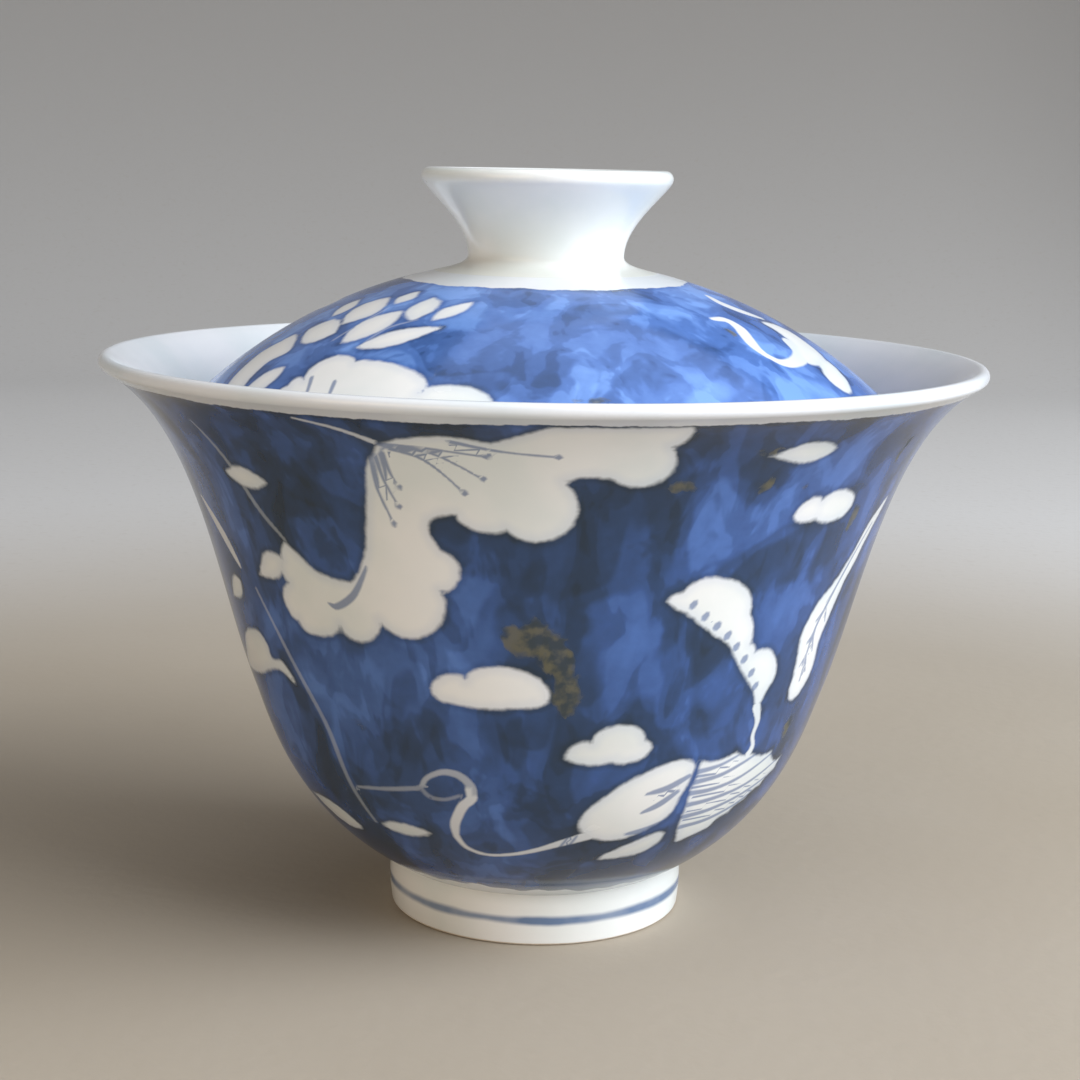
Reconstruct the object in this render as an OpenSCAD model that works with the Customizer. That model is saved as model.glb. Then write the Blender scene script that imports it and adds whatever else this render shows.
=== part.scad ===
// A gaiwan: a handleless porcelain tea cup with its own lid.
// The cup is a deep bowl with a flared rim, standing on a foot ring. The lid is a shallow dome with a
// hollow, trumpet-shaped knob, and it is smaller than the rim, so it drops inside the flare and rests
// on the wall. Everything is turned on one upright axis. The origin is the centre of the foot's
// resting face, and +Z points up. All lengths are in millimetres and all angles in degrees.

/* [Cup] */
// Outer radius of the lip, the widest place on the cup
rim_r = 47.5; // [45:0.5:50]
// Height of the top of the lip above the table
cup_h = 61.7; // [60:0.1:65]
// Rise of the flared wall above level where it reaches the lip
rim_rise = 29; // [24:1:34]
// Outer radius where the round belly turns into the straighter wall
belly_r = 31.4; // [30:0.2:33]
// Height of that turn above the table
belly_h = 26; // [24:0.5:28]
// Lean of the wall from upright at that turn
belly_lean = 20.5; // [17:0.5:24]
// Rise of the belly above level where it leaves the foot ring
foot_rise = 29; // [24:1:34]

/* [Foot ring] */
// Outer radius of the foot ring where it joins the bowl
foot_r = 16.2; // [15:0.1:17.5]
// Height of the foot ring
foot_h = 5.7; // [5:0.1:6.6]
// Width of the foot ring from its outer wall to its inner wall
foot_w = 2.5; // [2:0.1:3.4]
// How far the outer wall of the foot ring swells at half its height
foot_swell = 0.2; // [0:0.05:0.6]
// Rounding of the two lower edges of the foot ring
foot_round = 0.4; // [0.2:0.05:0.6]

/* [Lid] */
// Outer radius of the lid at its edge
lid_r = 39.35; // [37.5:0.05:40.5]
// Radius of the sphere that the top of the dome follows
dome_r = 54.6; // [51:0.2:58]
// Clearance between the lid's edge and the wall that it rests on
seat_gap = 0.12; // [0.08:0.01:0.25]

/* [Knob] */
// Radius of the flat on the lid's crown that the knob stands on
knob_base_r = 12; // [11:0.2:13]
// Outer radius of the knob's waist
waist_r = 8.4; // [7.6:0.1:9.4]
// Height of the waist above the flat
waist_h = 1.7; // [1.5:0.1:2.4]
// Outer radius of the knob's lip
knob_r = 13.5; // [12.6:0.1:14.6]
// Height of the knob's lip above the flat
knob_h = 10.9; // [10:0.1:12.4]
// Rise of the knob's wall above level where it reaches its lip
knob_rise = 56; // [48:1:62]

/* [Clay] */
// Thickness of the cup's wall at the belly
wall_t = 1.8; // [1.5:0.1:2.4]
// Thickness of the cup's lip
lip_t = 1.5; // [1.2:0.1:1.8]
// Thickness of the cup's floor at its centre
floor_t = 2.4; // [2:0.1:3.2]
// Thickness of the lid at its edge
edge_t = 1.9; // [1.6:0.1:2.2]
// Thickness of the lid at its crown
crown_t = 2.8; // [2.6:0.1:3.2]
// Thickness of the knob's wall and lip
knob_t = 1.8; // [1.5:0.1:2.1]
// Thickness of the knob's floor at its centre
knob_floor_t = 1.5; // [1.2:0.1:2]

/* [Hidden] */
$fn = 120;
steps = 14;                                             // straight pieces in each curve of an outline
porcelain = "#e9ebee";
wash_blue = "#34518f";

// ---- points, headings and curves; a point is [distance from the axis, height] ----

// The unit step that climbs at an angle above level
function heading(rise) = [cos(rise), sin(rise)];

// A point part of the way, from 0 to 1, along a smooth curve that leaves a on one heading and arrives
// at b on another. Each reach is how far the curve holds on to that heading.
function curve(a, a_rise, a_reach, b, b_rise, b_reach, way) =
    pow(1 - way, 3) * a
    + 3 * pow(1 - way, 2) * way * (a + a_reach * heading(a_rise))
    + 3 * (1 - way) * pow(way, 2) * (b - b_reach * heading(b_rise))
    + pow(way, 3) * b;

// The same curve from end to end, as a list of points
function curve_points(a, a_rise, a_reach, b, b_rise, b_reach) =
    [for (i = [0 : steps]) curve(a, a_rise, a_reach, b, b_rise, b_reach, i / steps)];

// An arc round a centre, from one angle to another
function arc_points(centre, radius, from, to) =
    [for (i = [0 : steps]) centre + radius * heading(from + (to - from) * i / steps)];

// A line of points pushed sideways to its left, by a depth that runs evenly from first to last
function pushed(line, first, last) =
    let (n = len(line) - 1)
    [for (i = [0 : n])
        let (along = line[min(i + 1, n)] - line[max(i - 1, 0)],
             left = [-along[1], along[0]] / norm(along))
        line[i] + (first + (last - first) * i / n) * left];

function reversed(line) = [for (i = [len(line) - 1 : -1 : 0]) line[i]];

// ---- the cup's wall ----

lip_centre = [rim_r - lip_t / 2, cup_h - lip_t / 2];
lip_outside = lip_centre + lip_t / 2 * heading(rim_rise - 90);
foot_corner = [foot_r, foot_h];
belly_turn = [belly_r, belly_h];
turn_rise = 90 - belly_lean;                            // rise of the wall above level at the turn

// Outside of the belly, from the foot ring up to the turn, and of the flare from there to the lip
// Each reach is how far the curve holds on to its heading, at its start and at its end
belly_reach = [13, 4];
flare_reach = [11.5, 11];
belly_outside = curve_points(foot_corner, foot_rise, belly_reach[0], belly_turn, turn_rise, belly_reach[1]);
flare_outside = curve_points(belly_turn, turn_rise, flare_reach[0], lip_outside, rim_rise, flare_reach[1]);

// Inside of the flare follows the outside at the wall's thickness, and the belly's runs to the floor
floor_reach = [25, 10];
flare_inside = pushed(flare_outside, wall_t, lip_t);
belly_inside = curve_points([0, foot_h + floor_t], 0, floor_reach[0],
    flare_inside[0], turn_rise, floor_reach[1]);

// ---- the lid's dome, which settles where its rounded edge meets the flare ----

edge_centre_r = lid_r - edge_t / 2;
edge_track = pushed(flare_outside, wall_t + edge_t / 2 + seat_gap, lip_t + edge_t / 2 + seat_gap);
edge_centre = [edge_centre_r, lookup(edge_centre_r, edge_track)];
edge_angle = asin(edge_centre_r / (dome_r - edge_t / 2)); // angle from upright, at the sphere's centre
sphere_z = edge_centre[1] - (dome_r - edge_t / 2) * cos(edge_angle);
flat_angle = asin(knob_base_r / dome_r);
flat_z = sphere_z + dome_r * cos(flat_angle);           // height of the flat that the knob stands on

// Inside of the dome: the arc through the edge's inner side and the crown's underside
edge_inside = edge_centre - edge_t / 2 * heading(90 - edge_angle);
crown_inside_z = sphere_z + dome_r - crown_t;
hollow_depth = crown_inside_z - edge_inside[1];
hollow_r = (pow(edge_inside[0], 2) + pow(hollow_depth, 2)) / (2 * hollow_depth);
hollow_angle = asin(edge_inside[0] / hollow_r);

// ---- the knob ----

knob_lip_centre = [knob_r - knob_t / 2, flat_z + knob_h - knob_t / 2];
knob_waist = [waist_r, flat_z + waist_h];
root_rise = 166;                                        // the root runs inwards and a little up
knob_flare_reach = [3.2, 2];
knob_root_reach = [2, 0.9];
knob_well_reach = [4, 0.8];
knob_flare = curve_points(knob_waist, 90, knob_flare_reach[0],
    knob_lip_centre + knob_t / 2 * heading(knob_rise - 90), knob_rise, knob_flare_reach[1]);
knob_root = curve_points([knob_base_r, flat_z], root_rise, knob_root_reach[0],
    knob_waist, 90, knob_root_reach[1]);
knob_well = curve_points([0, flat_z + knob_floor_t], 0, knob_well_reach[0],
    knob_waist + [-knob_t, 0], 90, knob_well_reach[1]);

// ---- the four parts ----

// Deep bowl with a flat underside, a round belly, a flared wall and a rounded lip
module cup_bowl() {
    color(wash_blue)
    rotate_extrude()
    polygon(concat(
        [[0, foot_h]],
        belly_outside,
        flare_outside,
        arc_points(lip_centre, lip_t / 2, rim_rise - 90, rim_rise + 90),
        reversed(flare_inside),
        reversed(belly_inside)));
}

// Ring that the bowl stands on: a slightly swollen outer wall, a flat resting face with rounded edges
// and an inner wall that closes in a little towards the bowl
module cup_foot_ring() {
    inner_r = foot_r - foot_w;
    draft = 0.3;
    wall_h = foot_h - foot_round;
    color(porcelain)
    rotate_extrude()
    polygon(concat(
        arc_points([foot_r - foot_round, foot_round], foot_round, -90, 0),
        [for (i = [1 : steps]) [foot_r + foot_swell * sin(180 * i / steps),
            foot_round + wall_h * i / steps]],
        [[inner_r - draft, foot_h]],
        arc_points([inner_r + foot_round, foot_round], foot_round, 180, 270)));
}

// Shallow dome, thicker at its crown, with a rounded edge and a flat trimmed on top for the knob
module lid_dome() {
    color(wash_blue)
    rotate_extrude()
    polygon(concat(
        arc_points([0, sphere_z], dome_r, 90 - flat_angle, 90 - edge_angle),
        arc_points(edge_centre, edge_t / 2, 90 - edge_angle, -90 - edge_angle),
        arc_points([0, crown_inside_z - hollow_r], hollow_r, 90 - hollow_angle, 90),
        [[0, flat_z]]));
}

// Hollow trumpet: a spreading root, a narrow waist, a flare with a rounded lip and a dished floor
module lid_knob() {
    color(porcelain)
    rotate_extrude()
    polygon(concat(
        [[0, flat_z]],
        knob_root,
        knob_flare,
        arc_points(knob_lip_centre, knob_t / 2, knob_rise - 90, knob_rise + 90),
        reversed(pushed(knob_flare, knob_t, knob_t)),
        reversed(knob_well)));
}

cup_bowl();
cup_foot_ring();
lid_dome();
lid_knob();
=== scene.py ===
# %% [markdown]
# # A blue and white gaiwan
# A gaiwan is a tea cup without a handle, with its own lid. This one is turned porcelain: a flared
# bowl on a foot ring, and a shallow dome with a trumpet-shaped knob. The outside is washed in cobalt
# blue, and the cranes, clouds, lotus flowers and leaves are left white.
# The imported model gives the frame: the bodies, their boxes and the place of every piece.

# %% Load the frame
import math

import bpy
import numpy as np
from mathutils import Matrix, Vector


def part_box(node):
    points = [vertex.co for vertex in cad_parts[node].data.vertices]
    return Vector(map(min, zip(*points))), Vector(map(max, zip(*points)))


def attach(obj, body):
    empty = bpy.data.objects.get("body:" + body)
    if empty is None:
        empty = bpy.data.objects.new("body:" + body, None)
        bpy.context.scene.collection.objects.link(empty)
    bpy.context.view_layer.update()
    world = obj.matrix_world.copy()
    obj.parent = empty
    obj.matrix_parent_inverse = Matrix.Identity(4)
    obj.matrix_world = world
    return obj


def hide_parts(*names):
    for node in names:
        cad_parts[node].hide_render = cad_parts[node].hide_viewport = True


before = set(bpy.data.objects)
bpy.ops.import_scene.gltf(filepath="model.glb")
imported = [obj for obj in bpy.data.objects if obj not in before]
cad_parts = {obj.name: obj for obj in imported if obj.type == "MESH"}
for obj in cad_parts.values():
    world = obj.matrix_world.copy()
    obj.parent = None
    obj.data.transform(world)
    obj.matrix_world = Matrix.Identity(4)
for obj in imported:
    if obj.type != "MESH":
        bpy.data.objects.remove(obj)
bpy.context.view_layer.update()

MM = 0.001                                              # one millimetre, in metres

# %% [markdown]
# ## The camera
# The viewer sits at the table and looks down a little at the cup from about an arm's length. The
# camera comes first, so that each piece can be looked at from the right place while it is made.

# %% Place the camera
eye_distance = 230 * MM
eye_rise = math.radians(10.67)
eye_tilt = math.radians(1.07)
aim = Vector((0, 0, 40 * MM))
onward = Vector((0, math.cos(eye_rise), -math.sin(eye_rise)))
level = Vector((1, 0, 0))
upward = level.cross(onward)
right_hand = level * math.cos(eye_tilt) + upward * math.sin(eye_tilt)
head = upward * math.cos(eye_tilt) - level * math.sin(eye_tilt)

camera = bpy.data.objects.new("camera", bpy.data.cameras.new("camera"))
bpy.context.collection.objects.link(camera)
turned_to = Matrix((right_hand, head, -onward)).transposed()
camera.matrix_world = Matrix.Translation(aim - onward * eye_distance) @ turned_to.to_4x4()
camera.data.sensor_width = 36
camera.data.lens = 69.3
camera.data.shift_x = -0.0005
camera.data.shift_y = 0.0084
camera.data.clip_start = 10 * MM
bpy.context.scene.camera = camera
bpy.context.scene.view_settings.view_transform = "Standard"
print("camera at", [round(x, 4) for x in camera.matrix_world.translation])

# %% [markdown]
# ## Shader maths that reads like arithmetic
# A material is a tree of nodes. Writing every Math node by hand hides the idea, so Flow wraps a
# socket: adding or multiplying two of them makes the Math node. Finish holds one material, and its
# one method makes any other kind of node.

# %% Wrap a socket
class Flow:
    """A number that changes over the surface, used in plain arithmetic."""

    def __init__(self, socket):
        self.socket = socket

    def math(self, operation, first, second):
        tree = self.socket.id_data
        made = tree.nodes.new("ShaderNodeMath")
        made.operation = operation
        for socket, value in zip(made.inputs, (first, second)):
            plug(tree, value, socket)
        return Flow(made.outputs[0])

    def __add__(self, other):
        return self.math("ADD", self, other)

    def __radd__(self, other):
        return self.math("ADD", other, self)

    def __sub__(self, other):
        return self.math("SUBTRACT", self, other)

    def __rsub__(self, other):
        return self.math("SUBTRACT", other, self)

    def __mul__(self, other):
        return self.math("MULTIPLY", self, other)

    def __rmul__(self, other):
        return self.math("MULTIPLY", other, self)

    def __or__(self, other):
        return self.math("MAXIMUM", self, other)

    def __and__(self, other):
        return self.math("MINIMUM", self, other)

    def __abs__(self):
        return self.math("ABSOLUTE", self, 0)


def plug(tree, value, socket):
    """Links a Flow into a socket, or sets a plain value on it."""
    if isinstance(value, Flow):
        tree.links.new(value.socket, socket)
    else:
        socket.default_value = value


print("Flow adds, subtracts, multiplies, and takes the larger with | and the smaller with &")

# %% Hold one material
def found(sockets, key):
    """A socket by its identifier, or else by its name."""
    for socket in sockets:
        if socket.identifier == key:
            return socket
    return sockets[key]


class Finish:
    """One material, and the nodes that it is made of."""

    def __init__(self, name):
        self.material = bpy.data.materials.new(name)
        self.material.use_nodes = True
        self.tree = self.material.node_tree
        self.tree.nodes.clear()
        self.place = self.node("ShaderNodeTexCoord", output="Object")

    def node(self, kind, settings=None, inputs=None, output="Result"):
        """Makes a node: its settings first, then its sockets, and gives back one output."""
        made = self.tree.nodes.new(kind)
        for name, value in (settings or {}).items():
            if name == "stops":
                ramp = made.color_ramp.elements
                while len(ramp) < len(value):
                    ramp.new(0.5)
                for stop, (where, colour) in zip(ramp, value):
                    stop.position = where
                    stop.color = (*colour, 1)
            else:
                setattr(made, name, value)
        for key, value in (inputs or {}).items():
            plug(self.tree, value, found(made.inputs, key))
        if made.outputs:
            return Flow(found(made.outputs, output))

    def height(self):
        """How high above the table, in millimetres."""
        up = self.node("ShaderNodeSeparateXYZ", inputs={"Vector": self.place}, output="Z")
        return up * (1 / MM)

    def noise(self, grain, detail=3, stretch=(1, 1, 1), warp=0.0):
        """Noise from 0 to 1 whose blotches are about grain millimetres across."""
        spot = self.place
        if stretch != (1, 1, 1):
            spot = self.node("ShaderNodeMapping", inputs={
                "Vector": spot, "Scale": stretch}, output="Vector")
        return self.node("ShaderNodeTexNoise", inputs={
            "Vector": spot, "Scale": 1 / (grain * MM), "Detail": detail,
            "Distortion": warp}, output="Fac")

    def step(self, value, low, high):
        """0 below low, 1 above high and a soft step between."""
        return self.node("ShaderNodeMapRange", {"interpolation_type": "SMOOTHSTEP"},
            {"Value": value, "From Min": low, "From Max": high})

    def painted(self, name):
        """A number that was painted on the mesh."""
        return self.node("ShaderNodeAttribute", {"attribute_name": name}, output="Fac")

    def mix(self, factor, first, second):
        """The second colour laid over the first."""
        return self.node("ShaderNodeMix", {"data_type": "RGBA"}, {
            "Factor_Float": factor, "A_Color": first, "B_Color": second}, output="Result_Color")

    def glaze(self, colour, roughness, bump_height):
        """Clear glaze over the colour: the output end of every porcelain finish."""
        lumps = self.node("ShaderNodeBump", inputs={
            "Height": bump_height, "Strength": 1.0, "Distance": 0.02 * MM}, output="Normal")
        surface = self.node("ShaderNodeBsdfPrincipled", inputs={
            "Base Color": colour, "Roughness": roughness, "Normal": lumps,
            "IOR": 1.5, "Coat Weight": 0.22, "Coat Roughness": 0.09}, output="BSDF")
        self.node("ShaderNodeOutputMaterial", inputs={"Surface": surface})
        return self.material


print("shader helpers ready")

# %% [markdown]
# ## Outlines
# A potter's profile is half of the section: a line of points, each a distance from the axis and a
# height. The frame gives the sizes that can be read from a box. The curves between them are the same
# ones as in the model of the part, so that the fine mesh lies on the same surface.
# A potter works in millimetres, so the outlines do too, and they become metres in the mesh.

# %% Sizes from the frame
def extent(node):
    """Radius, lowest height and highest height of a turned node, in millimetres."""
    low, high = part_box(node)
    return high[0] / MM, low[2] / MM, high[2] / MM


rim_r, foot_h, cup_h = extent("cup_bowl")
lid_r = extent("lid_dome")[0]
knob_r, flat_z, knob_top = extent("lid_knob")
foot_r = 16.2
wall_t, lip_t, floor_t, edge_t, crown_t = 1.8, 1.5, 2.4, 1.9, 2.8
print("rim", round(rim_r, 2), "cup height", round(cup_h, 2), "knob top", round(knob_top, 2))


# %% Curves
def heading(rise):
    return np.array([math.cos(math.radians(rise)), math.sin(math.radians(rise))])


def curve(a, a_rise, a_reach, b, b_rise, b_reach, steps=60):
    """A smooth curve that leaves a on one heading and arrives at b on another."""
    a, b = np.array(a, float), np.array(b, float)
    way = np.linspace(0, 1, steps + 1)[:, None]
    leave = a + a_reach * heading(a_rise)
    arrive = b - b_reach * heading(b_rise)
    return ((1 - way) ** 3 * a + 3 * (1 - way) ** 2 * way * leave
        + 3 * (1 - way) * way ** 2 * arrive + way ** 3 * b)


def arc(centre, radius, start, end, steps=10):
    angles = np.linspace(start, end, steps + 1)
    return np.array([np.array(centre) + radius * heading(a) for a in angles])


def pushed(line, first, last):
    """The line pushed to its left by a depth that runs from first to last."""
    along = np.gradient(line, axis=0)
    left = np.stack([-along[:, 1], along[:, 0]], 1) / np.linalg.norm(along, axis=1)[:, None]
    return line + np.linspace(first, last, len(line))[:, None] * left


def travelled(line):
    """How far along the line each of its points is."""
    return np.concatenate([[0], np.cumsum(np.linalg.norm(np.diff(line, axis=0), axis=1))])


def at_travel(line, at):
    """The places on the line that are this far along it."""
    far = travelled(line)
    return np.stack([np.interp(at, far, line[:, 0]), np.interp(at, far, line[:, 1])], 1)


def evenly(line, count):
    """The same line with its points evenly spaced."""
    return at_travel(line, np.linspace(0, travelled(line)[-1], count))


corner_gap = 0.04                                       # from a crisp corner to its second point


def held(line):
    """The line with a second point close to each end, so that shading stays crisp at the corner."""
    ends = at_travel(line, np.array([corner_gap, travelled(line)[-1] - corner_gap]))
    return np.vstack([line[0], ends[0], line[1:-1], ends[1], line[-1]])


print("a quarter of a circle of radius 1 is", round(travelled(arc((0, 0), 1, 0, 90))[-1], 3), "long")

# %% The cup's outline
rim_rise, belly_rise, turn_rise = 29, 29, 69.5
lip_centre = np.array([rim_r - lip_t / 2, cup_h - lip_t / 2])
lip_outside = lip_centre + lip_t / 2 * heading(rim_rise - 90)
belly_turn = (31.4, 26)
belly_reach, flare_reach, floor_reach = (13, 4), (11.5, 11), (25, 10)
belly_line = curve((foot_r, foot_h), belly_rise, belly_reach[0], belly_turn, turn_rise, belly_reach[1])
flare_line = curve(belly_turn, turn_rise, flare_reach[0], lip_outside, rim_rise, flare_reach[1])
cup_outside = evenly(np.vstack([belly_line, flare_line[1:]]), 140)
flare_inside = pushed(flare_line, wall_t, lip_t)
belly_inside = curve((0, foot_h + floor_t), 0, floor_reach[0], flare_inside[0], turn_rise, floor_reach[1])
underside = held(evenly(np.array([(0, foot_h), (foot_r, foot_h)]), 5))[:-1]
underside_rows = len(underside)
cup_outline = np.vstack([
    underside,
    held(cup_outside),
    arc(lip_centre, lip_t / 2, rim_rise - 90, rim_rise + 90, 8)[1:-1],
    evenly(flare_inside[::-1], 17),
    evenly(belly_inside[::-1], 13)[1:]])
print("cup outline", len(cup_outline), "points, wall", round(travelled(cup_outside)[-1], 1), "mm long")

# %% The lid's outline
dome_r = 54.6
knob_base_r = 12
flat_angle = math.degrees(math.asin(knob_base_r / dome_r))
sphere_z = flat_z - dome_r * math.cos(math.radians(flat_angle))
edge_angle = math.degrees(math.asin((lid_r - edge_t / 2) / (dome_r - edge_t / 2)))
edge_centre = np.array([0, sphere_z]) + (dome_r - edge_t / 2) * heading(90 - edge_angle)
edge_inside = edge_centre - edge_t / 2 * heading(90 - edge_angle)
crown_inside = sphere_z + dome_r - crown_t
hollow_depth = crown_inside - edge_inside[1]
hollow_r = (edge_inside[0] ** 2 + hollow_depth ** 2) / (2 * hollow_depth)
hollow_angle = math.degrees(math.asin(edge_inside[0] / hollow_r))
lid_outside = arc((0, sphere_z), dome_r, 90 - flat_angle, 90 - edge_angle, 96)
lid_outline = np.vstack([
    held(evenly(np.array([(0, flat_z), (knob_base_r, flat_z)]), 4))[:-1],
    held(lid_outside),
    arc(edge_centre, edge_t / 2, 90 - edge_angle, -90 - edge_angle, 9)[1:-1],
    arc((0, crown_inside - hollow_r), hollow_r, 90 - hollow_angle, 90, 26)])
print("lid outline", len(lid_outline), "points")

# %% The knob's and the foot ring's outlines
waist_r, waist_up, hollow_floor, root_flat_r = 8.4, 1.7, 1.5, 6
waist = np.array([waist_r, flat_z + waist_up])
knob_t, knob_rise, root_rise = 1.8, 56, 166
knob_reach, root_reach, well_reach = (3.2, 2), (2, 0.9), (4, 0.8)
knob_lip = np.array([knob_r - knob_t / 2, knob_top - knob_t / 2])
knob_lip_outside = knob_lip + knob_t / 2 * heading(knob_rise - 90)
knob_flare = curve(waist, 90, knob_reach[0], knob_lip_outside, knob_rise, knob_reach[1], 40)
knob_root = curve((knob_base_r, flat_z), root_rise, root_reach[0], waist, 90, root_reach[1], 14)
knob_well = curve((0, flat_z + hollow_floor), 0, well_reach[0],
    waist - (knob_t, 0), 90, well_reach[1], 14)
knob_outline = np.vstack([
    [(0, flat_z), (root_flat_r, flat_z), (knob_base_r - corner_gap, flat_z)],
    held(knob_root),
    knob_flare[1:],
    arc(knob_lip, knob_t / 2, knob_rise - 90, knob_rise + 90, 12)[1:-1],
    pushed(knob_flare, knob_t, knob_t)[::-1],
    knob_well[-2::-1]])

foot_w, foot_swell, foot_round, foot_draft = 2.5, 0.2, 0.4, 0.3
foot_side = np.append(np.linspace(0, 0.96, 25), [0.99, 1])
foot_outline = np.vstack([
    arc((foot_r - foot_w + foot_round, foot_round), foot_round, 180, 270, 6),
    arc((foot_r - foot_round, foot_round), foot_round, -90, 0, 6),
    np.stack([foot_r + foot_swell * np.sin(np.pi * foot_side),
        foot_round + (foot_h - foot_round) * foot_side], 1)[1:],
    [(foot_r - corner_gap, foot_h), (foot_r - foot_w - foot_draft, foot_h),
        (foot_r - foot_w, foot_round)]])
print("knob outline", len(knob_outline), "points, foot outline", len(foot_outline), "points")

# %% [markdown]
# ## The potter's wheel
# Every piece is turned, so one Geometry Nodes tree makes them all. It takes the outline as a line of
# points and lays a grid over it: one column of the grid is one copy of the outline, turned a little
# further round the axis. A Spin or Screw modifier could do this too, but the tree can also let the
# wall wander by some hundredths of a millimetre, as thrown clay does, and it can write on each
# point which row of the outline it came from. The painter needs that row later.

# %% Build the wheel
seam_gap = 0.002 * MM                                   # points closer than this become one
lump_scale = 45.0                                       # lumps in the thrown wall for each metre


def wheel_tree():
    tree = bpy.data.node_groups.new("potters_wheel", "GeometryNodeTree")
    for name, kind in (("Outline", "Geometry"), ("Columns", "Int"), ("Wander", "Float"),
            ("Seed", "Int"), ("Glaze", "Material")):
        tree.interface.new_socket(name, in_out="INPUT", socket_type="NodeSocket" + kind)
    tree.interface.new_socket("Wall", in_out="OUTPUT", socket_type="NodeSocketGeometry")

    def add(kind, settings=None, inputs=None):
        made = tree.nodes.new(kind)
        for name, value in (settings or {}).items():
            setattr(made, name, value)
        for key, value in (inputs or {}).items():
            socket = found(made.inputs, key) if isinstance(key, str) else made.inputs[key]
            if isinstance(value, bpy.types.NodeSocket):
                tree.links.new(value, socket)
            else:
                socket.default_value = value
        return made

    def sum_of(operation, *values):
        return add("ShaderNodeMath", {"operation": operation}, dict(enumerate(values))).outputs[0]

    given = add("NodeGroupInput").outputs
    count = add("GeometryNodeAttributeDomainSize", inputs={"Geometry": given["Outline"]})
    rows = count.outputs["Point Count"]
    columns = sum_of("ADD", given["Columns"], 1)
    grid = add("GeometryNodeMeshGrid", inputs={
        "Size X": 1.0, "Size Y": 1.0, "Vertices X": columns, "Vertices Y": rows}).outputs["Mesh"]
    here = add("ShaderNodeSeparateXYZ", inputs={0: add("GeometryNodeInputPosition").outputs[0]}).outputs
    row_part = sum_of("ADD", here["Y"], 0.5)
    row = sum_of("ROUND", sum_of("MULTIPLY", row_part, sum_of("SUBTRACT", rows, 1)))
    turn = sum_of("MULTIPLY", sum_of("ADD", here["X"], 0.5), math.tau)
    outline_place = add("GeometryNodeInputPosition").outputs[0]
    spot = add("GeometryNodeSampleIndex", {"data_type": "FLOAT_VECTOR", "domain": "POINT"}, {
        "Geometry": given["Outline"], "Value": outline_place, "Index": row})
    radius = add("ShaderNodeSeparateXYZ", inputs={0: spot.outputs["Value"]}).outputs
    across = sum_of("MULTIPLY", radius["X"], sum_of("COSINE", turn))
    deep = sum_of("MULTIPLY", radius["X"], sum_of("SINE", turn))
    true_place = add("ShaderNodeCombineXYZ", inputs={
        "X": across, "Y": deep, "Z": radius["Z"]}).outputs[0]
    lumps = add("ShaderNodeTexNoise", {"noise_dimensions": "4D"}, {
        "Vector": true_place, "W": given["Seed"], "Scale": lump_scale, "Detail": 1.0}).outputs["Fac"]
    swell = sum_of("ADD", 1.0, sum_of("MULTIPLY", given["Wander"], sum_of("SUBTRACT", lumps, 0.5)))
    thrown = add("ShaderNodeCombineXYZ", inputs={
        "X": sum_of("MULTIPLY", across, swell), "Y": sum_of("MULTIPLY", deep, swell),
        "Z": radius["Z"]}).outputs[0]
    noted = add("GeometryNodeStoreNamedAttribute", {"data_type": "FLOAT", "domain": "POINT"}, {
        "Geometry": grid, "Name": "row", "Value": row}).outputs[0]
    wall = add("GeometryNodeSetPosition", inputs={"Geometry": noted, "Position": thrown}).outputs[0]
    closed = add("GeometryNodeMergeByDistance", inputs={
        "Geometry": wall, "Distance": seam_gap}).outputs[0]
    smooth = add("GeometryNodeSetShadeSmooth", inputs={"Geometry": closed}).outputs[0]
    whole = add("GeometryNodeRealizeInstances", inputs={"Geometry": smooth}).outputs[0]
    glazed = add("GeometryNodeSetMaterial", inputs={
        "Geometry": whole, "Material": given["Glaze"]}).outputs[0]
    add("NodeGroupOutput", inputs={"Wall": glazed})
    return tree


wheel = wheel_tree()
print("wheel has", len(wheel.nodes), "nodes")


# %% Turn one piece
def turned(name, outline, columns, material, seed, wander=0.0015):
    """A closed wall turned from its outline, as a plain mesh that faces outwards."""
    mesh = bpy.data.meshes.new(name)
    points = [(r * MM, 0, z * MM) for r, z in outline]
    mesh.from_pydata(points, [(i, i + 1) for i in range(len(points) - 1)], [])
    piece = bpy.data.objects.new(name, mesh)
    bpy.context.collection.objects.link(piece)
    modifier = piece.modifiers.new("wheel", "NODES")
    modifier.node_group = wheel
    values = {"Columns": columns, "Wander": wander, "Seed": seed, "Glaze": material}
    for socket in wheel.interface.items_tree:
        if socket.name in values:
            modifier[socket.identifier] = values[socket.name]
    ready = piece.evaluated_get(bpy.context.evaluated_depsgraph_get())
    finished = bpy.data.meshes.new_from_object(ready)
    piece.modifiers.remove(modifier)
    piece.data = finished
    finished.name = name
    if signed_volume(finished) < 0:
        finished.flip_normals()
    volume = round(signed_volume(finished) / MM ** 3)
    print(name, len(finished.polygons), "faces, volume", volume, "mm3")
    return piece


def signed_volume(mesh):
    """The volume inside a closed mesh, negative if its faces point inwards."""
    mesh.calc_loop_triangles()
    corners = np.empty(len(mesh.loop_triangles) * 3, int)
    mesh.loop_triangles.foreach_get("vertices", corners)
    a, b, c = places(mesh)[corners].reshape(-1, 3, 3).transpose(1, 0, 2)
    return float(np.einsum("ij,ij->i", a, np.cross(b, c)).sum() / 6)


def places(mesh):
    """Where the points of a mesh are, in metres."""
    flat = np.empty(len(mesh.vertices) * 3)
    mesh.vertices.foreach_get("co", flat)
    return flat.reshape(-1, 3)


print("ready to turn pieces")

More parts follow.
